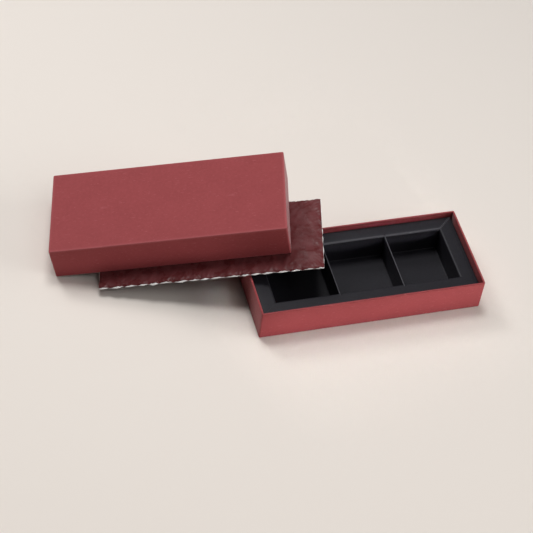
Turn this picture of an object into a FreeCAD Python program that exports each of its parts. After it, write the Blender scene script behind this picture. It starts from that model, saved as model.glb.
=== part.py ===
import FreeCAD, Part
import math
import os
from collections import namedtuple

import Sketcher

# A rigid chocolate box, taken apart: a papered board tray with a black card insert stands on the
# floor, a channelled cushion pad lies on the corner of its rim, and the lid leans over the pad.
# Millimetres and degrees. The origin is the middle of the tray's underside, the tray is long in X,
# its front looks along -Y, and +Z is up.
SIZES = {
    # The tray, measured outside over its paper.
    "base_length": 190.0,
    "base_width": 82.0,
    "base_height": 29.7,
    # Board and paper, the same in the tray and the lid.
    "board_thickness": 1.0,
    "paper_thickness": 0.2,
    "corner_radius": 1.2,
    "rim_radius": 0.35,
    "turn_in": 16.0,
    "turn_under": 12.0,
    "sheet_margin": 2.5,
    "liner_gap": 0.2,
    "tape_thickness": 0.2,
    "tape_leg": 11.0,
    # The lid slips over the tray with this gap on each side.
    "lid_height": 30.5,
    "lid_clearance": 0.4,
    "lid_edge_radius": 0.7,
    # The card insert, which is shorter than the tray by its play and pushed to the left end, and
    # its dividers, measured from the insert's own middle.
    "card_thickness": 0.6,
    "insert_clearance": 0.4,
    "insert_play": 1.2,
    "ledge_drop": 4.4,
    "end_ledge": 13.8,
    "side_ledge": 12.5,
    "fold_radius": 1.2,
    "mitre_gap": 0.4,
    "divider_thickness": 0.8,
    "divider_left_x": -24.9,
    "divider_right_x": 30.2,
    "divider_drop": 0.6,
    "divider_gap": 0.3,
    "ear_length": 1.6,
    "ear_height": 8.0,
    "slit_clearance": 0.3,
    # The cushion pad, with channels across its corners.
    "pad_length": 183.6,
    "pad_width": 75.6,
    "pad_thickness": 2.8,
    "pad_sheet_thickness": 0.25,
    "channel_pitch": 7.4,
    "channel_depth": 1.3,
    "channel_turn": 45.0,
    # How the lid leans: its low edge is on the floor, a run away from the corner of the tray that
    # holds it up, and it is turned from the tray's length. The pad lies in the same slope.
    "lean_run": 146.5,
    "lean_turn": -13.2,
    "lid_offset": 18.5,
    "pad_run": 18.6,
    "pad_offset": -4.4,
    "pad_turn": -0.4,
    "rest_gap": 0.2,
}

# An edge lies at a height when its ends are this near it.
SAME_HEIGHT = 1e-4

doc = FreeCAD.newDocument("chocolate_box")
sheet = doc.addObject("Spreadsheet::Sheet", "sizes")
for row, (alias, amount) in enumerate(SIZES.items(), start=1):
    sheet.set(f"A{row}", alias)
    sheet.set(f"B{row}", str(amount))
    sheet.setAlias(f"B{row}", alias)
doc.recompute()

# An outline in plan, centred on the origin: sizes are expressions in the sheet's names, and corners
# are square where radius is None.
Outline = namedtuple("Outline", "length width radius")

PAPER = "sizes.paper_thickness"
BOARD = "sizes.board_thickness"
CARD = "sizes.card_thickness"
WALL = f"({BOARD} + 2 * {PAPER})"
BOARD_RADIUS = f"(sizes.corner_radius - {PAPER})"
BASE = Outline("sizes.base_length", "sizes.base_width", "sizes.corner_radius")
LID_GROWTH = f"2 * (sizes.lid_clearance + {WALL})"
LID = Outline(f"(sizes.base_length + {LID_GROWTH})", f"(sizes.base_width + {LID_GROWTH})", "sizes.corner_radius")
CORNERS = {"front_left": (-1, -1), "front_right": (1, -1), "back_left": (-1, 1), "back_right": (1, 1)}

# Heights in the tray: the board stands on the bottom sheet and the turned-under paper, and the
# insert stands on the liner.
BOARD_LOW = f"(2 * {PAPER})"
TRAY_FLOOR = f"({BOARD_LOW} + {BOARD} + {PAPER})"
LEDGE_TOP = "(sizes.base_height - sizes.ledge_drop)"
INSERT_INSET = f"({WALL} + sizes.insert_clearance)"

parts = []


def value(expression):
    """What an expression in the sheet's names comes to."""
    return float(sheet.evalExpression(expression))


def inset(outline, amount, radius=None):
    """An outline moved inwards by an amount on each side."""
    return Outline(f"({outline.length} - 2 * {amount})", f"({outline.width} - 2 * {amount})", radius)


def finish(item, label, placement=None):
    """Names a finished sub-part, puts it in its place and keeps it for the export."""
    item.Label = label
    if placement:
        item.Placement = placement
    parts.append(item)
    return item


def new_sketch(body, name, height, role="XY_Plane"):
    """A sketch on one of the body's own origin planes, raised to a height above it."""
    sketch = body.newObject("Sketcher::SketchObject", name)
    plane = next(item for item in body.Origin.OriginFeatures if item.Role == role)
    sketch.AttachmentSupport = (plane, [""])
    sketch.MapMode = "FlatFace"
    sketch.setExpression("AttachmentOffset.Base.z", height)
    return sketch


def tie(sketch, kind, *where):
    """Adds a dimension to a sketch. The last argument is its expression."""
    *places, expression = where
    index = sketch.addConstraint(Sketcher.Constraint(kind, *places, value(expression)))
    sketch.setExpression(f"Constraints[{index}]", expression)


def draw_square_outline(sketch, corners):
    """A closed outline with sides along the sketch's axes. Each corner is a pair of expressions."""
    points = [FreeCAD.Vector(value(x), value(y), 0) for x, y in corners]
    first = sketch.GeometryCount
    sides = len(points)
    sketch.addGeometry([Part.LineSegment(points[i], points[(i + 1) % sides]) for i in range(sides)], False)
    for i in range(sides):
        sketch.addConstraint(Sketcher.Constraint("Coincident", first + i, 2, first + (i + 1) % sides, 1))
    for i, (x, y) in enumerate(corners):
        upright = x == corners[(i + 1) % sides][0]
        sketch.addConstraint(Sketcher.Constraint("Vertical" if upright else "Horizontal", first + i))
        tie(sketch, "DistanceX" if upright else "DistanceY", -1, 1, first + i, 1, x if upright else y)


def draw_round_outline(sketch, outline):
    """A centred rectangle with round corners: sides and corner arcs in turn, each tangent to the next."""
    x, y, r = value(outline.length) / 2, value(outline.width) / 2, value(outline.radius)
    starts = [(r - x, -y), (x, r - y), (x - r, y), (-x, y - r)]
    ends = [(x - r, -y), (x, y - r), (r - x, y), (-x, r - y)]
    centres = [(x - r, r - y), (x - r, y - r), (r - x, y - r), (r - x, r - y)]
    first = sketch.GeometryCount
    for i in range(4):
        line = Part.LineSegment(FreeCAD.Vector(*starts[i], 0), FreeCAD.Vector(*ends[i], 0))
        circle = Part.Circle(FreeCAD.Vector(*centres[i], 0), FreeCAD.Vector(0, 0, 1), r)
        turn = (i - 1) * math.pi / 2
        sketch.addGeometry([line, Part.ArcOfCircle(circle, turn, turn + math.pi / 2)], False)
    for i in range(4):
        side, arc, following = first + 2 * i, first + 2 * i + 1, first + 2 * ((i + 1) % 4)
        sketch.addConstraint(Sketcher.Constraint("Tangent", side, 2, arc, 1))
        sketch.addConstraint(Sketcher.Constraint("Tangent", arc, 2, following, 1))
        sketch.addConstraint(Sketcher.Constraint("Vertical" if i % 2 else "Horizontal", side))
        if i:
            sketch.addConstraint(Sketcher.Constraint("Equal", first + 1, arc))
    tie(sketch, "Radius", first + 1, outline.radius)
    tie(sketch, "DistanceX", -1, 1, first + 2, 1, f"{outline.length} / 2")
    tie(sketch, "DistanceX", first + 6, 1, -1, 1, f"{outline.length} / 2")
    tie(sketch, "DistanceY", first, 1, -1, 1, f"{outline.width} / 2")
    tie(sketch, "DistanceY", -1, 1, first + 4, 1, f"{outline.width} / 2")


def draw(sketch, outline):
    """Draws a centred outline with round or square corners."""
    if outline.radius:
        draw_round_outline(sketch, outline)
    else:
        x, y = f"{outline.length} / 2", f"{outline.width} / 2"
        draw_square_outline(sketch, [(f"-{x}", f"-{y}"), (x, f"-{y}"), (x, y), (f"-{x}", y)])


def add_layer(body, name, low, high, outer, inner=None):
    """Adds a flat layer between two heights to a body, open inside the inner outline."""
    sketch = new_sketch(body, f"{name}_outline", low)
    draw(sketch, outer)
    if inner:
        draw(sketch, inner)
    pad = body.newObject("PartDesign::Pad", name)
    pad.Profile = sketch
    pad.setExpression("Length", f"{high} - {low}")


def round_edges(body, name, height, radius):
    """Rounds every edge of a body that lies flat at a height."""
    doc.recompute()
    level = value(height)
    solid = body.Tip
    edges = [
        f"Edge{i}"
        for i, edge in enumerate(solid.Shape.Edges, start=1)
        if max(abs(edge.BoundBox.ZMin - level), abs(edge.BoundBox.ZMax - level)) < SAME_HEIGHT
    ]
    fillet = body.newObject("PartDesign::Fillet", name)
    fillet.Base = (solid, edges)
    fillet.setExpression("Radius", radius)


def add_block(name, low, size):
    """A block with a low corner and sizes given as expressions, for cutting and trimming."""
    block = doc.addObject("Part::Box", name)
    for axis, expression in zip("xyz", low):
        block.setExpression(f"Placement.Base.{axis}", expression)
    for side, expression in zip(("Length", "Width", "Height"), size):
        block.setExpression(side, expression)
    return block


def join(name, items):
    """Several solids as one, for cutting and trimming."""
    fuse = doc.addObject("Part::MultiFuse", name)
    fuse.Shapes = items
    return fuse


def cut(name, base, tool):
    """A solid less its cutter."""
    result = doc.addObject("Part::Cut", name)
    result.Base = base
    result.Tool = tool
    return result


def common(name, base, tool):
    """What two solids share."""
    result = doc.addObject("Part::Common", name)
    result.Base = base
    result.Tool = tool
    return result


def make_sheet(label, low, outline, placement=None):
    """A flat sheet of the wrapping paper."""
    body = doc.addObject("PartDesign::Body", label)
    add_layer(body, f"{label}_layer", low, f"({low} + {PAPER})", outline)
    finish(body, label, placement)


def make_board_tray(prefix, outline, low, height, placement=None, edge_radius=None):
    """The folded greyboard tray and the four paper tapes let into its corners, open side up."""
    top = f"({height} - {PAPER})"
    blank = inset(outline, PAPER, BOARD_RADIUS)
    hollow = inset(outline, f"({PAPER} + {BOARD})")
    body = doc.addObject("PartDesign::Body", f"{prefix}_board_blank")
    add_layer(body, f"{prefix}_board_floor", low, f"({low} + {BOARD})", blank)
    if edge_radius:
        round_edges(body, f"{prefix}_board_edge", low, f"({edge_radius} - {PAPER})")
    add_layer(body, f"{prefix}_board_walls", f"({low} + {BOARD})", top, blank, hollow)

    band = doc.addObject("PartDesign::Body", f"{prefix}_tape_band")
    tape = "sizes.tape_thickness"
    tape_low = f"({low} + {BOARD})"
    inner = inset(outline, f"({PAPER} + {tape})", f"({BOARD_RADIUS} - {tape})")
    add_layer(band, f"{prefix}_tape_layer", tape_low, top, blank, inner)
    leg = "sizes.tape_leg"
    corners = {}
    for corner, (x_side, y_side) in CORNERS.items():
        name = f"{prefix}_corner_tape_{corner}"
        x = f"{blank.length} / 2 - {leg}" if x_side > 0 else f"-{blank.length} / 2"
        y = f"{blank.width} / 2 - {leg}" if y_side > 0 else f"-{blank.width} / 2"
        corners[name] = add_block(f"{name}_reach", (x, y, tape_low), (leg, leg, f"{top} - {tape_low}"))
    seats = common(f"{prefix}_tape_seats", band, join(f"{prefix}_tape_reaches", list(corners.values())))
    finish(cut(f"{prefix}_board", body, seats), f"{prefix}_board", placement)
    for name, block in corners.items():
        finish(common(name, band, block), name, placement)


def add_rim_paper(body, prefix, outline, height):
    """The wrap's fold over the rim and its turned-in edge inside the walls."""
    inner = inset(outline, WALL)
    add_layer(body, f"{prefix}_rim_paper", f"({height} - {PAPER})", height, outline, inner)
    board_inside = inset(outline, f"({PAPER} + {BOARD})")
    add_layer(body, f"{prefix}_turn_in", f"({height} - sizes.turn_in)", height, board_inside, inner)
    round_edges(body, f"{prefix}_rim_edge", height, "sizes.rim_radius")


def make_base():
    """The tray: board, corner tapes, wrap turned under the floor, bottom sheet and liner."""
    height = "sizes.base_height"
    make_board_tray("base", BASE, BOARD_LOW, height)
    wrap = doc.addObject("PartDesign::Body", "base_wrap")
    add_layer(wrap, "base_turn_under", PAPER, BOARD_LOW, BASE, inset(BASE, "sizes.turn_under"))
    add_layer(wrap, "base_wall_paper", PAPER, height, BASE, inset(BASE, PAPER, BOARD_RADIUS))
    add_rim_paper(wrap, "base", BASE, height)
    finish(wrap, "base_wrap")
    make_sheet("base_bottom_sheet", "0", inset(BASE, "sizes.sheet_margin"))
    make_sheet("base_liner", f"({BOARD_LOW} + {BOARD})", inset(BASE, f"({WALL} + sizes.liner_gap)"))


def make_lid(placement):
    """The lid, made with its open side up: board, corner tapes, one wrap over top and walls, and liner."""
    height = "sizes.lid_height"
    edge = "sizes.lid_edge_radius"
    make_board_tray("lid", LID, PAPER, height, placement, edge)
    wrap = doc.addObject("PartDesign::Body", "lid_wrap")
    wrap_inside = inset(LID, PAPER, BOARD_RADIUS)
    add_layer(wrap, "lid_top_paper", "0", PAPER, LID)
    add_layer(wrap, "lid_wall_paper", PAPER, height, LID, wrap_inside)
    round_edges(wrap, "lid_outer_edge", "0", edge)
    round_edges(wrap, "lid_inner_edge", PAPER, f"({edge} - {PAPER})")
    add_rim_paper(wrap, "lid", LID, height)
    finish(wrap, "lid_wrap", placement)
    make_sheet("lid_liner", f"({PAPER} + {BOARD})", inset(LID, f"({WALL} + sizes.liner_gap)"), placement)


def make_insert(placement):
    """The card insert: floor, inner walls, ledge and skirt, with open mitres and slits for the dividers."""
    roomy = inset(BASE, INSERT_INSET)
    outside = Outline(f"({roomy.length} - sizes.insert_play)", roomy.width, None)
    well = Outline(
        f"({outside.length} - 2 * sizes.end_ledge)", f"({outside.width} - 2 * sizes.side_ledge)", None
    )
    walls = inset(well, f"(-{CARD})")
    body = doc.addObject("PartDesign::Body", "insert_blank")
    add_layer(body, "insert_floor", TRAY_FLOOR, f"({TRAY_FLOOR} + {CARD})", walls)
    add_layer(body, "insert_walls", TRAY_FLOOR, LEDGE_TOP, walls, well)
    add_layer(body, "insert_ledge", f"({LEDGE_TOP} - {CARD})", LEDGE_TOP, outside, well)
    add_layer(body, "insert_skirt", TRAY_FLOOR, LEDGE_TOP, outside, inset(outside, CARD))
    round_edges(body, "insert_folds", LEDGE_TOP, "sizes.fold_radius")
    cutters = [add_mitre(corner, well) for corner in CORNERS]
    for side in ("left", "right"):
        cutters.extend(make_divider(side, well, placement))
    finish(cut("insert_tray", body, join("insert_cutters", cutters)), "insert_tray", placement)


def add_mitre(corner, well):
    """A thin cutter along one corner's mitre, from the inner walls out through the ledge and the skirt."""
    x_side, y_side = CORNERS[corner]
    end, side = value("sizes.end_ledge"), value("sizes.side_ledge")
    slope = math.atan2(y_side * side, x_side * end)
    card = value(CARD)
    start = FreeCAD.Vector(x_side * (value(well.length) / 2 + card), y_side * (value(well.width) / 2 + card), 0)
    half_gap = FreeCAD.Vector(-math.sin(slope), math.cos(slope), 0) * (value("sizes.mitre_gap") / 2)
    cutter = doc.addObject("Part::Box", f"mitre_{corner}")
    cutter.setExpression("Length", "sizes.end_ledge + sizes.side_ledge")
    cutter.setExpression("Width", "sizes.mitre_gap")
    cutter.setExpression("Height", "sizes.base_height")
    cutter.Placement = FreeCAD.Placement(start - half_gap, FreeCAD.Rotation(math.degrees(slope), 0, 0))
    return cutter


def make_divider(side, well, placement):
    """A divider that stands on the insert's floor, with an ear at each end. Returns its slit cutters."""
    thickness = "sizes.divider_thickness"
    middle = f"sizes.divider_{side}_x"
    low = f"({TRAY_FLOOR} + {CARD})"
    top = f"({LEDGE_TOP} - sizes.divider_drop)"
    panel = f"({well.width} / 2 - sizes.divider_gap)"
    ear = f"({well.width} / 2 + sizes.ear_length)"
    ear_low = f"({top} - sizes.ear_height)"
    body = doc.addObject("PartDesign::Body", f"divider_{side}")
    sketch = new_sketch(body, f"divider_{side}_outline", f"{middle} - {thickness} / 2", "YZ_Plane")
    half = [(panel, low), (panel, ear_low), (ear, ear_low), (ear, top)]
    draw_square_outline(sketch, half + [(f"-{y}", z) for y, z in reversed(half)])
    pad = body.newObject("PartDesign::Pad", f"divider_{side}_panel")
    pad.Profile = sketch
    pad.setExpression("Length", thickness)
    finish(body, f"divider_{side}", placement)

    room = "sizes.slit_clearance"
    slit_low = f"({ear_low} - {room})"
    slit = (
        f"{thickness} + 2 * {room}",
        f"sizes.ear_length + 2 * {room}",
        f"{LEDGE_TOP} - {slit_low} + {room}",
    )
    x = f"{middle} - {thickness} / 2 - {room}"
    front = f"-{well.width} / 2 - sizes.ear_length - {room}"
    back = f"{well.width} / 2 - {room}"
    return [add_block(f"slit_{side}_{i}", (x, y, slit_low), slit) for i, y in enumerate((front, back))]


def arc_row(count, pitch, start, ends, middle):
    """A row of equal arcs across the pad's channels, each through an end, the middle and an end."""
    arcs = []
    for i in range(count):
        left = start + i * pitch
        arcs.append(
            Part.Arc(
                FreeCAD.Vector(left, 0, ends),
                FreeCAD.Vector(left + pitch / 2, 0, middle),
                FreeCAD.Vector(left + pitch, 0, ends),
            ).toShape()
        )
    return arcs


def make_pad(placement):
    """The cushion pad, made with its top face at height 0: top sheet, channelled wadding, bottom sheet."""
    length, width = value("sizes.pad_length"), value("sizes.pad_width")
    thickness, skin = value("sizes.pad_thickness"), value("sizes.pad_sheet_thickness")
    pitch, depth = value("sizes.channel_pitch"), value("sizes.channel_depth")
    turn = value("sizes.channel_turn")

    top = doc.addObject("PartDesign::Body", "pad_top_sheet")
    rectangle = Outline("sizes.pad_length", "sizes.pad_width", None)
    add_layer(top, "pad_top_layer", "(-sizes.pad_sheet_thickness)", "0", rectangle)
    finish(top, "pad_top_sheet", placement)

    # The channels run square to a row of arcs that spans the pad from corner to corner.
    span = length * abs(math.cos(math.radians(turn))) + width * abs(math.sin(math.radians(turn)))
    count = math.ceil(span / pitch)
    start = -count * pitch / 2
    crown = skin - thickness
    cusp = crown + depth
    radius = (pitch * pitch / 4 + depth * depth) / (2 * depth)
    skin_cusp = crown + radius - math.sqrt((radius + skin) ** 2 - pitch * pitch / 4)
    trim = Part.makeBox(length, width, 2 * thickness, FreeCAD.Vector(-length / 2, -width / 2, -2 * thickness))

    def channelled(label, upper, lower, corners):
        """A solid between an upper and a lower edge that runs along the channels, trimmed to the pad."""
        left = Part.makeLine(corners[0], corners[1])
        right = Part.makeLine(corners[2], corners[3])
        outline = Part.Wire(Part.__sortEdges__(upper + lower + [left, right]))
        block = Part.Face(outline).extrude(FreeCAD.Vector(0, 2 * span, 0))
        block.translate(FreeCAD.Vector(0, -span, 0))
        block.rotate(FreeCAD.Vector(), FreeCAD.Vector(0, 0, 1), turn)
        item = doc.addObject("Part::Feature", label)
        item.Shape = block.common(trim).Solids[0]
        finish(item, label, placement)

    def at(x, z):
        """A point of the section across the channels."""
        return FreeCAD.Vector(x, 0, z)

    flat = [Part.makeLine(at(start, -skin), at(-start, -skin))]
    waves = arc_row(count, pitch, start, cusp, crown)
    skin_waves = arc_row(count, pitch, start, skin_cusp, crown - skin)
    channelled("pad_wadding", flat, waves, [at(start, -skin), at(start, cusp), at(-start, -skin), at(-start, cusp)])
    channelled(
        "pad_bottom_sheet",
        waves,
        skin_waves,
        [at(start, cusp), at(start, skin_cusp), at(-start, cusp), at(-start, skin_cusp)],
    )


def lean_frame():
    """The slope under the lid: a point on its floor edge, and its directions up the slope, across and out.

    The slope rises over its run until the pad's underside just clears the back left corner of the rim.
    """
    turn = math.radians(value("sizes.lean_turn"))
    run, gap = value("sizes.lean_run"), value("sizes.rest_gap")
    ahead = FreeCAD.Vector(math.cos(turn), math.sin(turn), 0)
    across = FreeCAD.Vector(-math.sin(turn), math.cos(turn), 0)
    up = FreeCAD.Vector(0, 0, 1)
    rise = value("sizes.base_height") - gap
    cover = value("sizes.pad_thickness") + 2 * gap
    tilt = math.atan2(rise, run) + math.asin(cover / math.hypot(run, rise))
    corner = FreeCAD.Vector(-value("sizes.base_length") / 2, value("sizes.base_width") / 2, gap)
    slope = ahead * math.cos(tilt) + up * math.sin(tilt)
    return corner - ahead * run, slope, across, slope.cross(across)


def insert_placement():
    """Pushed to the tray's left end, so that its play is all at the right."""
    return FreeCAD.Placement(FreeCAD.Vector(-value("sizes.insert_play") / 2, 0, 0), FreeCAD.Rotation())


def lid_placement():
    """Open side down on the slope, with the low edge on the floor."""
    edge, slope, across, out = lean_frame()
    middle = edge + slope * (value(LID.length) / 2) + across * value("sizes.lid_offset")
    turned = FreeCAD.Rotation(slope, across * -1, out * -1, "XYZ")
    return FreeCAD.Placement(middle + out * value("sizes.lid_height"), turned)


def pad_placement():
    """On the slope just under the lid's rim, turned a little from the lid."""
    edge, slope, across, out = lean_frame()
    along = value("sizes.lean_run") - value("sizes.pad_run")
    middle = edge + slope * along + across * value("sizes.pad_offset") - out * value("sizes.rest_gap")
    turned = FreeCAD.Rotation(slope, across, out, "XYZ")
    return FreeCAD.Placement(middle, turned.multiply(FreeCAD.Rotation(value("sizes.pad_turn"), 0, 0)))


def export():
    """Checks every object and every sub-part, then writes each sub-part to its own file."""
    doc.recompute()
    faults = [item.Name for item in doc.Objects if {"Invalid", "Error"} & set(item.State)]
    faults += [item.Label for item in parts if item.Shape.isNull() or not item.Shape.isValid()]
    faults += [item.Label for item in parts if len(item.Shape.Solids) != 1]
    if faults:
        raise RuntimeError(f"these did not build: {', '.join(faults)}")
    os.makedirs("parts", exist_ok=True)
    for item in parts:
        item.Shape.exportStep(f"parts/{item.Label}.step")
        print(f"{item.Label}: {item.Shape.Volume / 1000:.2f} cm3")


make_base()
make_insert(insert_placement())
make_pad(pad_placement())
make_lid(lid_placement())
export()
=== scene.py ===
"""Rigid chocolate box, taken apart: base tray with a card insert, cushion pad and leaning lid.

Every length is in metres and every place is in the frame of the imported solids. The base stands on the
floor, the pad lies over its left end, and the lid leans over the pad with its left edge on the floor.
"""

from __future__ import annotations

import logging
import math
from collections.abc import Callable
from dataclasses import dataclass, field, replace
from enum import Enum

import bmesh
import bpy
import numpy as np
from mathutils import Matrix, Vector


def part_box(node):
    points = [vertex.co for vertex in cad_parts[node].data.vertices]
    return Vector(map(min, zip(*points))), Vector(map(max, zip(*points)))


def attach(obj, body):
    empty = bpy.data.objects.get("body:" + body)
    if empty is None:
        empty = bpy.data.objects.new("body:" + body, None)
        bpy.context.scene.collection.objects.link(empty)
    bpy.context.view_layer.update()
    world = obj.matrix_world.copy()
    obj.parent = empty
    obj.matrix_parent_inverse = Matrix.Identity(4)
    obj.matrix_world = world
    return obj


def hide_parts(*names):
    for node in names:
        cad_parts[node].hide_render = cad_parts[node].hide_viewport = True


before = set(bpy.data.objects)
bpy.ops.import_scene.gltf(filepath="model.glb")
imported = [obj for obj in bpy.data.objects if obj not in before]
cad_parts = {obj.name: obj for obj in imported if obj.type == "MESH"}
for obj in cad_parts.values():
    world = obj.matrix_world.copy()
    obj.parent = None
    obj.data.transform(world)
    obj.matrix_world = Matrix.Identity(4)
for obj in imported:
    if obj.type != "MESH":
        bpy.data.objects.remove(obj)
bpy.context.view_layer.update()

LOG = logging.getLogger("chocolate_box")
# Side of the photograph in pixels.
PHOTO_SIDE = 533
# The UV map of a folded piece's flat blank, and the attribute that holds its wear and its painted
# highlights.
UV_NAME = "blank"
WEAR_NAME = "wear"
# Socket types of the shared effects.
VALUE = "NodeSocketFloat"
VECTOR = "NodeSocketVector"
# Angle in degrees past which an edge of board, paper or card is sharp.
CREASE = 35.0
# Points nearer than this are merged, and values nearer than this are taken as equal.
SAME_PLACE = 2e-7
TINY = 1e-6

Array = np.ndarray
Triple = tuple[float, float, float]
Colour = Triple
Field = Callable[[Array, Array], Array]
Socket = bpy.types.NodeSocket
Piece = bpy.types.Object


class Side(Enum):
    """The four sides of a tray, as the direction from its middle."""

    FRONT = (0, -1)
    RIGHT = (1, 0)
    BACK = (0, 1)
    LEFT = (-1, 0)


def line(start: tuple[float, float], end: tuple[float, float], steps: int = 1) -> Array:
    """Points of a straight run: start plus equal shares of the way to the end.

    Args:
        start: First point.
        end: Last point.
        steps: Number of equal steps.

    Returns:
        Array of steps + 1 points.
    """
    share = np.linspace(0.0, 1.0, steps + 1)[:, None]
    return np.array(start) * (1 - share) + np.array(end) * share


def arc(centre: tuple[float, float], radius: float, start: float, end: float, steps: int = 5) -> Array:
    """Points of a round bend: centre plus radius times the cosine and sine of a turning angle.

    Args:
        centre: Middle of the bend.
        radius: Radius of the bend.
        start: First angle in degrees.
        end: Last angle in degrees.
        steps: Number of equal steps.

    Returns:
        Array of steps + 1 points.
    """
    angle = np.radians(np.linspace(start, end, steps + 1))
    return np.array(centre) + radius * np.stack([np.cos(angle), np.sin(angle)], -1)


def chain(*runs: Array) -> Array:
    """Runs of points end to end, each without the point that the run before it ends on."""
    return np.concatenate([runs[0], *(run[1:] for run in runs[1:])])


def smooth_step(value: Array, low: float, high: float) -> Array:
    """Share from 0 at low to 1 at high, as 3 t squared less 2 t cubed."""
    t = np.clip((value - low) / (high - low), 0.0, 1.0)
    return t * t * (3 - 2 * t)


@dataclass(frozen=True)
class Cloud:
    """An even, cloudy field: its typical wavelength, its seed and its weight."""

    size: float
    seed: int
    weight: float
    waves: int = 14
    spread: tuple[float, float] = (0.7, 1.5)

    def plain(self, x: Array, y: Array) -> Array:
        """The field of unit weight: a sum of plane waves with seeded directions, lengths and phases.

        Args:
            x: First coordinate of every point.
            y: Second coordinate of every point.

        Returns:
            Field of about unit spread, the shape of x.
        """
        rng = np.random.default_rng(self.seed)
        turn = rng.uniform(0, 2 * math.pi, self.waves)
        length = self.size * rng.uniform(*self.spread, self.waves)
        phase = rng.uniform(0, 2 * math.pi, self.waves)
        along = x[..., None] * np.cos(turn) + y[..., None] * np.sin(turn)
        return np.cos(2 * math.pi * along / length + phase).sum(-1) / math.sqrt(self.waves / 2)

    def at(self, x: Array, y: Array) -> Array:
        """The field times its weight."""
        return self.weight * self.plain(x, y)

    def ridges(self, x: Array, y: Array) -> Array:
        """Soft ridges where the field crosses zero: its weight times 1 less its size."""
        return self.weight * (1 - np.abs(self.plain(x, y)))


def grid_quads(rows: int, cols: int, closed_rows: bool, closed_cols: bool) -> Array:
    """Four-sided faces of a grid of points.

    Args:
        rows: Number of rows of points.
        cols: Number of points in a row.
        closed_rows: Whether the last row joins the first.
        closed_cols: Whether each row's last point joins its first.

    Returns:
        Array of faces, four point numbers each.
    """
    first_rows = np.arange(rows if closed_rows else rows - 1)
    first_cols = np.arange(cols if closed_cols else cols - 1)
    row, col = np.meshgrid(first_rows, first_cols, indexing="ij")
    below, beside = (row + 1) % rows, (col + 1) % cols
    corners = [row * cols + col, row * cols + beside, below * cols + beside, below * cols + col]
    return np.stack(corners, -1).reshape(-1, 4)


def turned_out(points: Array, quads: Array) -> Array:
    """Faces of a closed skin, reversed where the volume that they enclose comes out negative.

    Args:
        points: Points of the skin.
        quads: Faces, four point numbers each.

    Returns:
        The faces, all pointing outwards.
    """
    a, b, c, d = (points - points.mean(0))[quads.T]
    volume = (a * (np.cross(b, c) + np.cross(c, d))).sum()
    return quads if volume > 0 else quads[:, ::-1]


@dataclass(frozen=True)
class Place:
    """A square frame in space: a point and three directions."""

    origin: Array
    x: Array
    y: Array
    z: Array

    def put(self, points: Array) -> Array:
        """Points of this frame in the shared frame: origin plus each coordinate times its direction."""
        return self.origin + points @ np.stack([self.x, self.y, self.z])


@dataclass(frozen=True)
class Lean:
    """How the lid and the pad lie: a slope from the floor up to the base's back left rim corner."""

    base_length: float
    base_width: float
    base_height: float
    run: float = 0.1465
    turn: float = -13.2
    gap: float = 0.0002
    pad_thickness: float = 0.0028

    def slope(self) -> Place:
        """The slope's frame: its floor edge, then up the slope, across it and out of it.

        The tilt is the angle up to the rim corner plus the angle that the pad's thickness adds.

        Returns:
            The frame at the point of the floor edge below the rim corner.
        """
        turn = math.radians(self.turn)
        ahead = np.array([math.cos(turn), math.sin(turn), 0.0])
        across = np.array([-math.sin(turn), math.cos(turn), 0.0])
        rise = self.base_height - self.gap
        cover = self.pad_thickness + 2 * self.gap
        tilt = math.atan2(rise, self.run) + math.asin(cover / math.hypot(self.run, rise))
        up = ahead * math.cos(tilt) + np.array([0.0, 0.0, math.sin(tilt)])
        corner = np.array([-self.base_length / 2, self.base_width / 2, self.gap])
        return Place(corner - ahead * self.run, up, across, np.cross(up, across))


@dataclass(frozen=True)
class Outline:
    """A rectangle with rounded corners, as a closed path round a tray or a sheet."""

    length: float
    width: float
    radius: float
    long_stops: tuple[float, ...]
    short_stops: tuple[float, ...]
    corner_steps: int = 6
    least_radius: float = 0.00004

    def path(self) -> Array:
        """The path as shares: two of the straight half sides and two of the corner radius for each point.

        Returns:
            Points, each (side x, side y, corner x, corner y), anticlockwise from the front right corner.
        """
        runs = []
        for i, (cx, cy) in enumerate(((1, -1), (1, 1), (-1, 1), (-1, -1))):
            angle = np.radians(np.linspace(90 * i - 90, 90 * i, self.corner_steps + 1))
            corner = np.broadcast_to([cx, cy], (len(angle), 2))
            runs.append(np.concatenate([corner, np.stack([np.cos(angle), np.sin(angle)], -1)], 1))
            normal = np.round([math.cos(math.pi * i / 2), math.sin(math.pi * i / 2)])
            stops = np.array(self.short_stops if i % 2 == 0 else self.long_stops)
            along = np.array([-normal[1], normal[0]])
            side = stops[:, None] * along + normal
            runs.append(np.concatenate([side, np.broadcast_to(normal, side.shape)], 1))
        return np.concatenate(runs)

    def carry(self, inset: Array, height: Array) -> Array:
        """A profile carried along the path.

        Each point is its side shares times the straight half sides, plus its corner shares times the
        corner radius, both made smaller by the inset, at the profile's height.

        Args:
            inset: How far in from the outline each row lies, a column or a full grid.
            height: Height of each row, a column or a full grid.

        Returns:
            Grid of points, one row for each profile point.
        """
        side_x, side_y, corner_x, corner_y = self.path().T
        room = np.maximum(self.width / 2 - inset, 0.0)
        radius = np.minimum(np.maximum(self.radius - inset, self.least_radius), room)
        x = side_x * (self.length / 2 - inset - radius) + corner_x * radius
        y = side_y * (room - radius) + corner_y * radius
        return np.stack([x, y, np.broadcast_to(height, x.shape)], -1)


def even_stops(length: float, pitch: float) -> tuple[float, ...]:
    """Shares from -1 to 1 that divide a side into steps of about one pitch, without its ends."""
    return tuple(np.linspace(-1.0, 1.0, max(2, round(length / pitch)) + 1)[1:-1])


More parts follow.
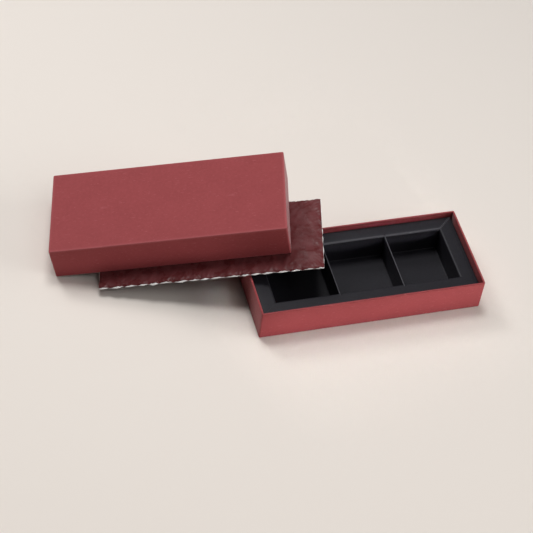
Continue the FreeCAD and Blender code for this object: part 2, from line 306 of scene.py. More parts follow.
def new_piece(
    name: str,
    points: Array,
    quads: Array,
    uv: Array | None = None,
    wear: Array | None = None,
    crease: float = CREASE,
) -> Piece:
    """An object from arrays, with its doubled points merged and its edges sharp past an angle.

    Args:
        name: Name of the piece.
        points: Points in the shared frame.
        quads: Faces, four point numbers each.
        uv: Place of each point on the flat blank, or None.
        wear: Share of wear and painted highlight at each point, or None.
        crease: Angle in degrees past which an edge is sharp.

    Returns:
        The object, linked to the scene.
    """
    flat = points.reshape(-1, 3)
    mesh = bpy.data.meshes.new(name)
    mesh.vertices.add(len(flat))
    mesh.vertices.foreach_set("co", flat.astype(np.float32).ravel())
    mesh.loops.add(quads.size)
    mesh.loops.foreach_set("vertex_index", quads.astype(np.int32).ravel())
    mesh.polygons.add(len(quads))
    mesh.polygons.foreach_set("loop_start", np.arange(0, quads.size, 4, dtype=np.int32))
    mesh.update(calc_edges=True)
    if uv is not None:
        layer = mesh.uv_layers.new(name=UV_NAME)
        layer.data.foreach_set("uv", uv.reshape(-1, 2)[quads.ravel()].astype(np.float32).ravel())
    if wear is not None:
        rub_and_highlight = mesh.attributes.new(WEAR_NAME, "FLOAT", "POINT")
        rub_and_highlight.data.foreach_set("value", wear.astype(np.float32).ravel())
    merge_doubles(mesh)
    smooth(mesh, crease)
    piece = bpy.data.objects.new(name, mesh)
    bpy.context.scene.collection.objects.link(piece)
    return piece


def merge_doubles(mesh: bpy.types.Mesh) -> None:
    """Merges points that lie on each other and drops the faces that this leaves without an area.

    Args:
        mesh: The mesh.
    """
    work = bmesh.new()
    work.from_mesh(mesh)
    bmesh.ops.remove_doubles(work, verts=work.verts, dist=SAME_PLACE)
    bmesh.ops.dissolve_degenerate(work, dist=SAME_PLACE, edges=work.edges)
    work.to_mesh(mesh)
    work.free()


def smooth(mesh: bpy.types.Mesh, crease: float) -> None:
    """Shades a mesh smooth up to an angle in degrees."""
    mesh.shade_smooth()
    mesh.set_sharp_from_angle(angle=math.radians(crease))


def give_thickness(piece: Piece, thickness: float) -> None:
    """Makes a sheet a closed wall behind its seen face, with its cut edges in the next material slot.

    Args:
        piece: The sheet.
        thickness: Thickness of the wall.
    """
    wall = piece.modifiers.new("thickness", "SOLIDIFY")
    wall.thickness = thickness
    wall.offset = -1.0
    wall.use_even_offset = True
    wall.material_offset_rim = 1
    shape = piece.evaluated_get(bpy.context.evaluated_depsgraph_get())
    mesh = bpy.data.meshes.new_from_object(shape)
    piece.modifiers.clear()
    piece.data = mesh
    smooth(mesh, CREASE)


class Graph:
    """A node tree with short calls that add nodes and join them."""

    def __init__(self, tree: bpy.types.NodeTree) -> None:
        """Starts from an empty tree."""
        self.tree = tree
        tree.nodes.clear()

    def add(self, kind: str, inputs: dict | None = None, **settings: object) -> bpy.types.Node:
        """Adds a node.

        Args:
            kind: Blender's name of the node type.
            inputs: Value or socket for each input, by name or number.
            **settings: Values of the node's own properties.

        Returns:
            The node.
        """
        node = self.tree.nodes.new(kind)
        for key, value in settings.items():
            setattr(node, key, value)
        for key, value in (inputs or {}).items():
            if isinstance(value, Socket):
                self.tree.links.new(value, node.inputs[key])
            else:
                node.inputs[key].default_value = value
        return node

    def noise(self, vector: object, scale: float, detail: float, roughness: float = 0.5) -> Socket:
        """Noise of a scale in cells per metre, from 0 to 1."""
        inputs = {"Vector": vector, "Scale": scale, "Detail": detail, "Roughness": roughness}
        return self.add("ShaderNodeTexNoise", inputs).outputs[0]

    def ramp(
        self, value: object, low: float, high: float, to_low: float = 0.0, to_high: float = 1.0
    ) -> Socket:
        """A value stretched from one range to another and held at its ends."""
        inputs = {0: value, 1: low, 2: high, 3: to_low, 4: to_high}
        return self.add("ShaderNodeMapRange", inputs).outputs[0]

    def math(self, operation: str, first: object, second: object) -> Socket:
        """Two values joined by an operation."""
        return self.add("ShaderNodeMath", {0: first, 1: second}, operation=operation).outputs[0]

    def mix(self, share: object, first: object, second: object) -> Socket:
        """Two colours mixed by a share."""
        return self.add("ShaderNodeMix", {0: share, 6: first, 7: second}, data_type="RGBA").outputs[2]

    def blend(self, share: object, first: object, second: object) -> Socket:
        """Two values mixed by a share."""
        return self.add("ShaderNodeMix", {0: share, 2: first, 3: second}, data_type="FLOAT").outputs[0]

    def turn(self, vector: object, scale: Triple, angle: float = 0.0) -> Socket:
        """A vector stretched along its axes and turned about the third."""
        inputs = {"Vector": vector, "Scale": scale, "Rotation": (0.0, 0.0, math.radians(angle))}
        return self.add("ShaderNodeMapping", inputs).outputs[0]


def rgba(colour: Colour) -> tuple[float, float, float, float]:
    """A colour with full cover."""
    return (*colour, 1.0)


class Effect(Enum):
    """Surface effects that several materials share."""

    FIBRE = "fibre_grain"
    CRUMPLE = "soft_crumple"


def effect_group(effect: Effect) -> bpy.types.ShaderNodeTree:
    """The node group of a shared effect, built the first time it is asked for.

    Args:
        effect: Which effect.

    Returns:
        The group.
    """
    made = bpy.data.node_groups.get(effect.value)
    if made is not None:
        return made
    group = bpy.data.node_groups.new(effect.value, "ShaderNodeTree")
    build = {Effect.FIBRE: build_fibre, Effect.CRUMPLE: build_crumple}[effect]
    build(group)
    return group


def add_sockets(group: bpy.types.ShaderNodeTree, inputs: dict[str, str], outputs: dict[str, str]) -> None:
    """Gives a group its named inputs and outputs, each with its socket type."""
    for name, kind in inputs.items():
        group.interface.new_socket(name, in_out="INPUT", socket_type=kind)
    for name, kind in outputs.items():
        group.interface.new_socket(name, in_out="OUTPUT", socket_type=kind)


def build_fibre(group: bpy.types.ShaderNodeTree) -> None:
    """Fibre grain: soft mottling, short pale flecks that lie mostly one way, and a fine tooth.

    The flecks are the peaks of noise that is stretched along the grain and bent by a wider noise.

    Args:
        group: The empty group.
    """
    masks = {"Mottle": VALUE, "Fleck": VALUE, "Tooth": VALUE}
    add_sockets(group, {"Vector": VECTOR, "Grain": VALUE}, masks)
    graph = Graph(group)
    source = graph.add("NodeGroupInput").outputs
    grown = {0: source["Vector"], 3: source["Grain"]}
    vector = graph.add("ShaderNodeVectorMath", grown, operation="SCALE").outputs[0]
    sway = graph.add("ShaderNodeTexNoise", {"Vector": vector, "Scale": 0.12, "Detail": 2.0}).outputs[1]
    moved = {0: sway, 1: (2.6, 2.6, 2.6), 2: vector}
    bent = graph.add("ShaderNodeVectorMath", moved, operation="MULTIPLY_ADD").outputs[0]
    broad = graph.noise(vector, 0.045, 3.0, 0.6)
    middle = graph.noise(vector, 0.42, 3.0, 0.6)
    mottle = graph.blend(0.55, broad, middle)
    lying = graph.ramp(graph.noise(graph.turn(bent, (0.28, 1.5, 1.5), 4.0), 1.0, 2.0), 0.65, 0.73)
    crossing = graph.noise(graph.turn(bent, (0.4, 1.7, 1.7), 52.0), 1.0, 2.0)
    fleck = graph.math("MAXIMUM", lying, graph.ramp(crossing, 0.69, 0.77, 0.0, 0.7))
    tooth = graph.noise(graph.turn(vector, (0.8, 1.2, 1.2)), 3.2, 4.0, 0.65)
    graph.add("NodeGroupOutput", {"Mottle": mottle, "Fleck": fleck, "Tooth": tooth})


def build_crumple(group: bpy.types.ShaderNodeTree) -> None:
    """Soft crumple: cloudy patches and the fine creases of thin pressed paper.

    Args:
        group: The empty group.
    """
    add_sockets(group, {"Vector": VECTOR}, {"Patch": VALUE, "Crease": VALUE})
    graph = Graph(group)
    vector = graph.add("NodeGroupInput").outputs["Vector"]
    patch = graph.ramp(graph.noise(vector, 95.0, 3.0, 0.55), 0.35, 0.68)
    lump = graph.noise(vector, 420.0, 4.0, 0.6)
    placed = {"Vector": vector, "Scale": 260.0}
    cells = graph.add("ShaderNodeTexVoronoi", placed, feature="SMOOTH_F1").outputs[0]
    graph.add("NodeGroupOutput", {"Patch": patch, "Crease": graph.blend(0.45, lump, cells)})


class Finish:
    """A material under construction: its tree, its shader and its shared effects."""

    def __init__(self, name: str) -> None:
        """Starts a material with a shader and an output.

        Args:
            name: Name of the material.
        """
        self.material = bpy.data.materials.new(name)
        self.material.use_nodes = True
        self.graph = Graph(self.material.node_tree)
        self.shader = self.graph.add("ShaderNodeBsdfPrincipled")
        self.graph.add("ShaderNodeOutputMaterial", {0: self.shader.outputs[0]})

    def set(self, **values: object) -> None:
        """Sets plain values on the shader's sockets, with underscores for the spaces of their names."""
        for key, value in values.items():
            self.shader.inputs[key.replace("_", " ")].default_value = value

    def feed(self, socket: str, source: Socket) -> None:
        """Joins a node to one of the shader's sockets."""
        self.graph.tree.links.new(source, self.shader.inputs[socket])

    def roughen(self, tooth: Socket, roughness: float, less: float, more: float) -> None:
        """Lets the roughness follow the tooth, from a little less than its own value to a little more."""
        self.feed("Roughness", self.graph.ramp(tooth, 0.3, 0.7, roughness - less, roughness + more))

    def effect(self, effect: Effect, vector: Socket, **values: float) -> bpy.types.Node:
        """Places a shared effect, with its own values."""
        inputs = {"Vector": vector, **values}
        return self.graph.add("ShaderNodeGroup", inputs, node_tree=effect_group(effect))

    def bump(self, height: Socket, strength: float, depth: float) -> None:
        """Raises the surface by a height, a depth in metres at full height."""
        inputs = {"Height": height, "Strength": strength, "Distance": depth}
        self.feed("Normal", self.graph.add("ShaderNodeBump", inputs).outputs[0])

    def object_vector(self) -> Socket:
        """Coordinates of the object, which are those of the shared frame."""
        return self.graph.add("ShaderNodeTexCoord").outputs["Object"]

    def blank_vector(self) -> Socket:
        """Coordinates on the flat blank of a folded piece."""
        return self.graph.add("ShaderNodeUVMap", uv_map=UV_NAME).outputs[0]

    def wear(self) -> Socket:
        """Share of wear and painted highlight that the piece carries at each point."""
        return self.graph.add("ShaderNodeAttribute", attribute_name=WEAR_NAME).outputs["Fac"]


@dataclass(frozen=True)
class WrapPaper:
    """Dyed, felt-marked paper that covers the trays."""

    name: str
    dye: Colour
    shade: Colour
    fleck: Colour
    # Paler colour of scuffed paper, which also paints a highlight along the bends and corners.
    worn_and_highlight: Colour
    on_blank: bool = True
    grain: float = 900.0
    roughness: float = 0.62
    relief: float = 0.00012
    sheen: float = 0.25

    def material(self) -> bpy.types.Material:
        """Mottled dye, pale flecks, a fine tooth, and edges paler by wear and by a painted highlight.

        Returns:
            The material.
        """
        made = Finish(self.name)
        graph = made.graph
        vector = made.blank_vector() if self.on_blank else made.object_vector()
        mottle, fleck, tooth = made.effect(Effect.FIBRE, vector, Grain=self.grain).outputs
        tone = graph.mix(graph.ramp(mottle, 0.36, 0.64), rgba(self.shade), rgba(self.dye))
        flecked = graph.mix(graph.math("MULTIPLY", fleck, 0.5), tone, rgba(self.fleck))
        # Wear and a painted highlight along the bends and corners, in the paler colour.
        rub_and_highlight = graph.math("MULTIPLY", made.wear(), graph.ramp(tooth, 0.35, 0.65, 0.2, 0.8))
        made.feed("Base Color", graph.mix(rub_and_highlight, flecked, rgba(self.worn_and_highlight)))
        made.roughen(tooth, self.roughness, 0.06, 0.08)
        made.bump(graph.math("ADD", tooth, fleck), 0.35, self.relief)
        made.set(Specular_IOR_Level=0.15, Sheen_Weight=self.sheen, Sheen_Roughness=0.25)
        return made.material


@dataclass(frozen=True)
class PlainStock:
    """Uncoloured or plainly coloured board, tape and lining paper."""

    name: str
    light: Colour
    dark: Colour
    grain: float
    roughness: float
    relief: float

    def material(self) -> bpy.types.Material:
        """Pulp mottling, dark flecks and a tooth.

        Returns:
            The material.
        """
        made = Finish(self.name)
        graph = made.graph
        mottle, fleck, tooth = made.effect(Effect.FIBRE, made.object_vector(), Grain=self.grain).outputs
        tone = graph.mix(graph.ramp(mottle, 0.35, 0.65), rgba(self.dark), rgba(self.light))
        made.feed("Base Color", graph.mix(graph.math("MULTIPLY", fleck, 0.35), tone, rgba(self.dark)))
        made.roughen(tooth, self.roughness, 0.08, 0.08)
        made.bump(tooth, 0.4, self.relief)
        made.set(Specular_IOR_Level=0.35)
        return made.material


@dataclass(frozen=True)
class BlackCard:
    """Through-dyed black card of the insert and the dividers."""

    name: str
    face: Colour
    bloom: Colour
    # Paler colour of cut edges, which along the folds paints a highlight.
    edge: Colour
    grain: float = 1100.0
    roughness: float = 0.5
    relief: float = 0.00008

    def material(self) -> bpy.types.Material:
        """Near black with a faint bloom, paler at cut edges and along folds, where the paleness is mostly a
        painted highlight.

        Returns:
            The material.
        """
        made = Finish(self.name)
        graph = made.graph
        mottle, _, tooth = made.effect(Effect.FIBRE, made.object_vector(), Grain=self.grain).outputs
        tone = graph.mix(graph.ramp(mottle, 0.34, 0.66), rgba(self.face), rgba(self.bloom))
        made.feed("Base Color", graph.mix(made.wear(), tone, rgba(self.edge)))
        made.roughen(tooth, self.roughness, 0.07, 0.07)
        made.bump(tooth, 0.3, self.relief)
        made.set(Specular_IOR_Level=0.2)
        return made.material


@dataclass(frozen=True)
class PressedSheet:
    """Thin glossy pressed paper on the pad."""

    name: str
    deep: Colour
    # The paler colour is partly the sheet's tone, partly a painted reflection.
    pale: Colour
    roughness: float = 0.28
    gloss: float = 0.12
    relief: float = 0.0004

    def material(self) -> bpy.types.Material:
        """Deep dye with cloudy paler patches, partly tone and partly a painted reflection, gloss that
        varies with them and fine creases.

        Returns:
            The material.
        """
        made = Finish(self.name)
        graph = made.graph
        patch, crease = made.effect(Effect.CRUMPLE, made.object_vector()).outputs
        # Paler patches, partly a painted reflection of the sheen.
        share = graph.math("MULTIPLY", patch, 0.8)
        made.feed("Base Color", graph.mix(share, rgba(self.deep), rgba(self.pale)))
        made.feed("Roughness", graph.ramp(patch, 0.0, 1.0, self.roughness - 0.05, self.roughness + 0.09))
        made.bump(crease, 0.9, self.relief)
        made.set(Specular_IOR_Level=self.gloss)
        return made.material


@dataclass(frozen=True)
class Backdrop:
    """Pale seamless paper under the object, which far off glows with painted light where the soft lights
    don't reach.
    """

    name: str
    # Near and far colours of the painted shade toward the back right.
    near: Colour
    far: Colour
    # Painted light that the far floor glows with.
    glow: Colour
    fade_heading: float = 54.0
    fade: tuple[float, float] = (-0.35, 0.45)
    glow_reach: tuple[float, float] = (0.6, 2.4)

    def material(self) -> bpy.types.Material:
        """Almost even pale paper with painted shade that grows a little deeper toward the back right.

        Returns:
            The material.
        """
        made = Finish(self.name)
        graph = made.graph
        vector = made.object_vector()
        # Painted shade: the paper grows deeper toward the back right, as the light falls off there.
        turned = graph.turn(vector, (1.0, 1.0, 1.0), -self.fade_heading)
        toward = graph.add("ShaderNodeSeparateXYZ", {0: turned}).outputs["X"]
        made.feed("Base Color", graph.mix(graph.ramp(toward, *self.fade), rgba(self.near), rgba(self.far)))
        made.feed("Roughness", graph.ramp(graph.noise(vector, 60.0, 2.0), 0.3, 0.7, 0.7, 0.8))
        # Painted light: the floor glows far off, past the reach of the lamps.
        away = graph.add("ShaderNodeVectorMath", {0: vector}, operation="LENGTH").outputs["Value"]
        dark = rgba((0.0, 0.0, 0.0))
        made.feed("Emission Color", graph.mix(graph.ramp(away, *self.glow_reach), dark, rgba(self.glow)))
        made.set(Specular_IOR_Level=0.25, Emission_Strength=1.0)
        made.material.cycles.emission_sampling = "NONE"
        return made.material


BURGUNDY = WrapPaper(
    "burgundy_wrap",
    dye=(0.307, 0.055, 0.0595),
    shade=(0.272, 0.0475, 0.051),
    fleck=(0.46, 0.13, 0.135),
    worn_and_highlight=(0.44, 0.12, 0.13),
)
BURGUNDY_SHEET = replace(BURGUNDY, name="burgundy_sheet", on_blank=False)
GREYBOARD = PlainStock("greyboard", (0.42, 0.39, 0.35), (0.27, 0.25, 0.23), 420.0, 0.85, 0.0002)
LINING = PlainStock("lining_paper", (0.28, 0.048, 0.052), (0.22, 0.036, 0.04), 900.0, 0.7, 0.0001)
STAY_TAPE = PlainStock("stay_tape", (0.56, 0.42, 0.28), (0.44, 0.32, 0.2), 700.0, 0.6, 0.0001)
PULP = PlainStock("white_wadding", (0.93, 0.92, 0.9), (0.85, 0.84, 0.82), 500.0, 0.75, 0.0003)
BACKING = PlainStock("pad_backing", (0.1, 0.024, 0.026), (0.075, 0.017, 0.018), 800.0, 0.55, 0.0001)
CARD = BlackCard("black_card", (0.011, 0.0102, 0.0138), (0.015, 0.0141, 0.0184), (0.085, 0.082, 0.093))
CARD_EDGE = BlackCard("black_card_edge", (0.05, 0.048, 0.053), (0.07, 0.068, 0.073), (0.09, 0.088, 0.093))
PAD_SHEET = PressedSheet("burgundy_pressed", (0.102, 0.021, 0.022), (0.152, 0.042, 0.045))
FLOOR_PAPER = Backdrop("backdrop_paper", (0.85, 0.78, 0.716), (0.68, 0.629, 0.582), (0.74, 0.68, 0.62))


def dress(piece: Piece, *materials: bpy.types.Material) -> None:
    """Gives a piece its materials, in the order of its slots."""
    piece.data.materials.clear()
    for material in materials:
        piece.data.materials.append(material)


def seat(piece: Piece, body: str, node: str) -> None:
    """Lets a piece ride on a body in place of its solid.

    Args:
        piece: The new piece.
        body: Name of the body that carries it.
        node: Name of the solid that it stands for.
    """
    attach(piece, body)
    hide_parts(node)
    LOG.info("%s rides on %s: %d faces", piece.name, body, len(piece.data.polygons))


@dataclass
class PaperWrap:
    """Paper glued over a tray of board, folded over its rim and turned in."""

    length: float
    width: float
    height: float
    wall: float = 0.0014
    paper: float = 0.0002
    corner_radius: float = 0.0012
    rim_radius: float = 0.00035
    edge_radius: float = 0.0007
    turn_in: float = 0.016
    floor_gap: float = 0.0
    column_pitch: float = 0.012
    flap_margin: float = 0.0014
    flap_cut: float = 0.94
    flap_columns: int = 9
    flap_lift: float = 0.00012
    flap_start: tuple[float, float] = (1.0, 3.0)
    hold: float = 3.0
    # Strength of the wear and painted highlight along the bends and corners, and how much the corners add.
    rub_and_highlight: float = 0.1
    bend_gain: float = 3.0
    corner_wear_and_highlight: float = 0.6

    def flap_stop(self, share: float) -> float:
        """Share of the way along an end wall, short of its end by a share of the flap's margin."""
        return 1 - share * self.flap_margin / (self.width / 2 - self.corner_radius)

    def outline(self) -> Outline:
        """The tray's outline, with stops where the end flap's cut edges lie.

        Returns:
            The outline.
        """
        flap, cut = self.flap_stop(1.0), self.flap_stop(self.flap_cut)
        ends = (-cut, *np.linspace(-flap, flap, self.flap_columns), cut)
        long_stops = even_stops(self.length, self.column_pitch)
        return Outline(self.length, self.width, self.corner_radius, long_stops, ends)

    def on_flap(self, path: Array) -> Array:
        """Share 1 for path points on the end flaps, 0 on the long sides and the corner folds."""
        flap = self.flap_stop((1.0 + self.flap_cut) / 2)
        return ((np.abs(path[:, 2]) > 1 - TINY) & (np.abs(path[:, 1]) <= flap)).astype(float)

    def flap_share(self, run: Array) -> Array:
        """Share of the flap lift at a run past the fold, rising over a few radii of the fold."""
        return smooth_step(run, *(radii * self.edge_radius for radii in self.flap_start))

    def profile(self, depth: float, panel: Array) -> Array:
        """Section of the wrap at a depth into the paper.

        It is turned in, goes round the rim, along the wall and over the fold. Rings that hold the shape of
        a bend lie a few radii from its corner.

        Args:
            depth: 0 for the seen face, the paper's thickness for the glued face.
            panel: Insets of the rings from the fold on, over the lid's top or under the base's floor.

        Returns:
            Array of (inset, distance from the rim).
        """
        edge, rim, far = self.edge_radius, self.rim_radius, self.height - self.floor_gap
        edge_hold, rim_hold, inside = far - self.hold * edge, self.hold * rim, self.wall - depth
        return chain(
            line((inside, self.turn_in), (inside, rim_hold), 4),
            line((inside, rim_hold), (inside, rim)),
            arc((self.wall - rim, rim), rim - depth, 0, -90),
            line((self.wall - rim, depth), (rim, depth), 2),
            arc((rim, rim), rim - depth, 270, 180),
            line((depth, rim), (depth, rim_hold)),
            line((depth, rim_hold), (depth, edge_hold), 6),
            line((depth, edge_hold), (depth, far - edge)),
            arc((edge, far - edge), edge - depth, 180, 90),
            np.stack([panel, np.full_like(panel, far - depth)], -1),
        )

    def skin(self, panel: Array) -> tuple[Array, Array, Array]:
        """The closed skin of the paper: its seen face carried round the tray, then its hidden face back.

        The end flaps lie over the corner folds, so there the seen face stands out by the flap lift. The
        flat blank's coordinates are the point's own, plus its outward direction times the run past the
        fold.

        Args:
            panel: Insets of the rings from the fold on.

        Returns:
            Points, places on the blank, and wear with painted highlight.
        """
        seen, hidden = self.profile(0.0, panel), self.profile(self.paper, panel)
        step = np.linalg.norm(np.diff(seen, axis=0), axis=1)
        left = np.concatenate([np.cumsum(step[::-1])[::-1], [0.0]])
        run = np.maximum(left - left[-len(panel)], 0.0)
        outline = self.outline()
        path = outline.path()
        lift = self.flap_share(run)[:, None] * self.on_flap(path)[None, :] * self.flap_lift
        out = (seen - hidden) / self.paper
        front = outline.carry(seen[:, :1] + out[:, :1] * lift, seen[:, 1:] + out[:, 1:] * lift)
        inset, height = (np.broadcast_to(column[:, None], lift.shape) for column in hidden.T)
        points = np.concatenate([outline.carry(inset, height)[::-1], front])
        both_runs = np.concatenate([run[::-1], run])
        uv = points[..., :2] + path[None, :, 2:] * both_runs[:, None, None]
        return points, uv, self.wear(seen, path)

    def wrap(self, body: str, panel: Array, place: Place, closed: bool) -> None:
        """Makes the wrap of a tray and lets it ride on its body.

        Args:
            body: Name of the body, with which the names of the wrap and its solid begin.
            panel: Insets of the rings from the fold on.
            place: Frame of the rim, with its third direction away from the opening.
            closed: Whether the profile is a closed loop, with no panel across the tray.
        """
        points, uv, wear = self.skin(panel)
        placed = place.put(points)
        quads = turned_out(placed.reshape(-1, 3), grid_quads(*points.shape[:2], closed, True))
        piece = new_piece(f"{body}_wrap_paper", placed, quads, uv, wear)
        dress(piece, BURGUNDY.material())
        seat(piece, body, f"{body}_wrap")

    def wear(self, seen: Array, path: Array) -> Array:
        """Wear and painted highlight along the rim, the folds and the corners: the bend of the paper at
        each point, up to 1.

        Args:
            seen: Profile of the seen face.
            path: Path round the tray.

        Returns:
            Share of wear and painted highlight for both faces of the paper.
        """
        step = np.gradient(seen, axis=0)
        heading = np.unwrap(np.arctan2(step[:, 1], step[:, 0]))
        bend = np.clip(np.abs(np.gradient(heading)) * self.bend_gain, 0, 1)
        corner = (np.abs(path[:, 2] * path[:, 3]) > TINY) * self.corner_wear_and_highlight
        face = np.maximum(bend[:, None], corner[None, :]) * self.rub_and_highlight
        return np.concatenate([np.zeros_like(face), face])


@dataclass
class BaseTray(PaperWrap):
    """The base: board tray, corner stays, wrap, bottom sheet and liner."""

    floor_gap: float = 0.0002
    turn_under: float = 0.012
    under_steps: int = 4

    def build(self) -> None:
        """Makes the wrap, which is turned in over the rim and under the floor."""
        panel = np.linspace(self.edge_radius, self.turn_under, self.under_steps + 1)
        rim = Place(np.array([0.0, 0.0, self.height]), *np.diag([1.0, 1.0, -1.0]))
        self.wrap("base", panel, rim, closed=True)


@dataclass
class Lid(PaperWrap):
    """The lid: board tray, corner stays, wrap and liner, leaning on the pad."""

    offset: float = 0.0185
    panel_rings: int = 22
    flap_start: tuple[float, float] = (2.0, 4.0)
    # The lid's bends carry a much stronger painted highlight with their wear.
    rub_and_highlight: float = 1.2

    @classmethod
    def over(cls, base: BaseTray, height: float = 0.0305, clearance: float = 0.0004) -> Lid:
        """A lid that slips over a base with a clearance on each side."""
        spare = 2 * (clearance + base.wall)
        return cls(base.length + spare, base.width + spare, height)

    def place(self, lean: Lean) -> Place:
        """The lid's frame: the middle of its rim, along its length, across it and up through its top.

        Args:
            lean: The slope that the lid lies on.

        Returns:
            The frame.
        """
        slope = lean.slope()
        middle = slope.origin + slope.x * self.length / 2 + slope.y * self.offset
        return Place(middle, slope.x, slope.y, slope.z)

    def build(self, lean: Lean) -> None:
        """Makes the wrap where the lid leans.

        Args:
            lean: The slope that the lid lies on.
        """
        edge = self.edge_radius
        rings = np.linspace(self.hold * edge, self.width / 2, self.panel_rings + 1)
        self.wrap("lid", np.concatenate([[edge], rings]), self.place(lean), closed=False)


@dataclass
class CardInsert:
    """The insert: one folded card blank with a mitred ledge, and two dividers held in slits.

    Each mitre opens by a share of the seam at either end of a side, and its open end is scuffed paler. The
    inner folds carry a painted highlight, strongest on the back.
    """

    length: float = 0.1852
    width: float = 0.0784
    shift: float = -0.0006
    bottom: float = 0.0016
    top: float = 0.0253
    card: float = 0.0006
    end_ledge: float = 0.0138
    side_ledge: float = 0.0125
    fold: float = 0.0014
    skirt_fold: float = 0.0018
    floor_fold: float = 0.0005
    seam: float = 0.000288
    seam_end: float = 0.3
    mitre_strip: float = 0.0011
    mitre_wear: float = 0.8
    # Place and width of the painted highlight's bell along the inner fold, in fold radii.
    highlight_place: float = 0.35
    highlight_width: float = 0.6
    column_margin: float = 0.004
    slit_half: float = 0.0007
    slit_reach: float = 0.0019
    slit_low: float = 0.0164
    dividers: tuple[float, ...] = (-0.0249, 0.0302)
    # Painted highlight along each side's inner fold, strongest on the back fold, which faces the light.
    fold_highlight: dict[Side, float] = field(
        default_factory=lambda: {Side.FRONT: 0.05, Side.RIGHT: 0.15, Side.BACK: 1.0, Side.LEFT: 0.05}
    )
    open_mitres: dict[Side, tuple[float, float]] = field(
        default_factory=lambda: {
            Side.FRONT: (0.2, 0.2),
            Side.RIGHT: (1.0, 0.2),
            Side.BACK: (0.2, 1.0),
            Side.LEFT: (0.2, 0.2),
        }
    )

    def section(self, ledge: float) -> Array:
        """Section of one side: up the skirt, over the ledge, down the inner wall and onto the floor.

        Args:
            ledge: Width of the ledge.

        Returns:
            Array of (distance in from the skirt, height).
        """
        floor = self.bottom + self.card
        return chain(
            line((0.0, self.bottom), (0.0, self.top - self.skirt_fold), 3),
            arc((self.skirt_fold, self.top - self.skirt_fold), self.skirt_fold, 180, 90),
            line((self.skirt_fold, self.top), (ledge - self.slit_reach, self.top), 3),
            line((ledge - self.slit_reach, self.top), (ledge - self.fold, self.top)),
            arc((ledge - self.fold, self.top - self.fold), self.fold, 90, 0),
            line((ledge, self.top - self.fold), (ledge, self.slit_low), 2),
            line((ledge, self.slit_low), (ledge, floor + self.floor_fold), 2),
            arc((ledge + self.floor_fold, floor + self.floor_fold), self.floor_fold, 180, 270),
        )

    def stops(self, long_side: bool) -> Array:
        """Places of the inner columns of a side: beside each slit and short of the mitres.

        Args:
            long_side: Whether it is the front or the back, which have the slits.

        Returns:
            The places in order.
        """
        half, other = (self.length / 2, self.end_ledge) if long_side else (self.width / 2, self.side_ledge)
        inner = half - other - self.column_margin
        slits = [middle + way * self.slit_half for middle in self.dividers for way in (-1, 1)]
        return np.sort([-inner, inner, *(slits if long_side else [])])

    def panel(self, side: Side) -> tuple[Array, Array, Array]:
        """One side of the insert: its section carried along the side, with mitred ends and slits.

        The inner columns are straight; the end columns lie on the mitre, from the outer corner to the
        well's corner, less the open seam. Faces inside a slit are left out.

        Args:
            side: Which side.

        Returns:
            Points, faces, and wear with painted highlight.
        """
        inward = -np.array([*side.value, 0.0])
        along = np.array([-inward[1], inward[0], 0.0])
        long_side = side in (Side.FRONT, Side.BACK)
        half, depth = (self.length / 2, self.width / 2) if long_side else (self.width / 2, self.length / 2)
        ledge, other = (self.side_ledge, self.end_ledge) if long_side else (self.end_ledge, self.side_ledge)
        section = self.section(ledge)
        inset, height = section[:, :1], section[:, 1:]
        seam = np.where(inset < ledge - self.fold * self.seam_end, self.seam, 0.0)
        mitre = half - other * np.minimum(inset / ledge, 1.0) - np.maximum(inset - ledge, 0.0)
        start, end = (mitre - seam * share for share in self.open_mitres[side])
        sign = along.sum()
        middles = [sign * x for x in self.dividers] if long_side else []
        stops = np.sort(sign * self.stops(long_side))
        strip = self.mitre_strip
        straight = np.broadcast_to(stops, (len(section), len(stops)))
        u = np.concatenate([-start, strip - start, straight, end - strip, end], 1)
        upward = np.array([0.0, 0.0, 1.0])
        points = along * u[..., None] + inward * (inset - depth)[..., None] + upward * height[..., None]
        quads = grid_quads(*u.shape, False, False)
        row, col = quads[:, 0] // u.shape[1], quads[:, 0] % u.shape[1]
        centre = u[0][col] / 2 + u[0][col + 1] / 2
        in_slit = np.any(np.abs(centre[:, None] - np.array(middles)[None, :]) < self.slit_half / 2, axis=1)
        in_slit &= inset[row, 0] > ledge - self.slit_reach - TINY
        in_slit &= height[row, 0] > self.slit_low + TINY
        wear = self.wear(side, section, ledge, u.shape[1])
        return points.reshape(-1, 3), quads[~in_slit, ::-1], wear.ravel()

    def wear(self, side: Side, section: Array, ledge: float, columns: int) -> Array:
        """A painted highlight along the inner fold, by a bell curve of the distance from it, and paler card
        at the open mitres.

        Args:
            side: Which side.
            section: Section of the side.
            ledge: Width of the ledge.
            columns: Number of columns along the side.

        Returns:
            Share of painted highlight and wear for each point of the panel.
        """
        inset, height = section[:, :1], section[:, 1:]
        # Painted highlight: a bell along the inner fold, on the high rows only.
        high = height > self.top - self.fold
        off = ((inset - ledge) / self.fold + self.highlight_place) / self.highlight_width
        inner = self.fold_highlight[side] * np.exp(-(off**2))
        mitre = np.zeros(columns)
        mitre[[0, -1]] = self.mitre_wear * np.array(self.open_mitres[side]) ** 2
        return np.maximum(inner, mitre[None, :]) * high

    def floor(self) -> tuple[Array, Array, Array]:
        """The floor of the well: a flat grid between the folds, on the columns of the sides that it joins.

        Returns:
            Points, faces and wear.
        """
        well = np.array([self.length / 2 - self.end_ledge, self.width / 2 - self.side_ledge])
        strip = self.mitre_strip
        x, y = (
            np.concatenate([[-end, strip - end], self.stops(long_side), [end - strip, end]])
            for end, long_side in zip(well - self.floor_fold, (True, False))
        )
        y, x = np.meshgrid(y, x, indexing="ij")
        points = np.stack([x, y, np.full_like(x, self.bottom + self.card)], -1)
        return points.reshape(-1, 3), grid_quads(*x.shape, False, False), np.zeros(x.size)

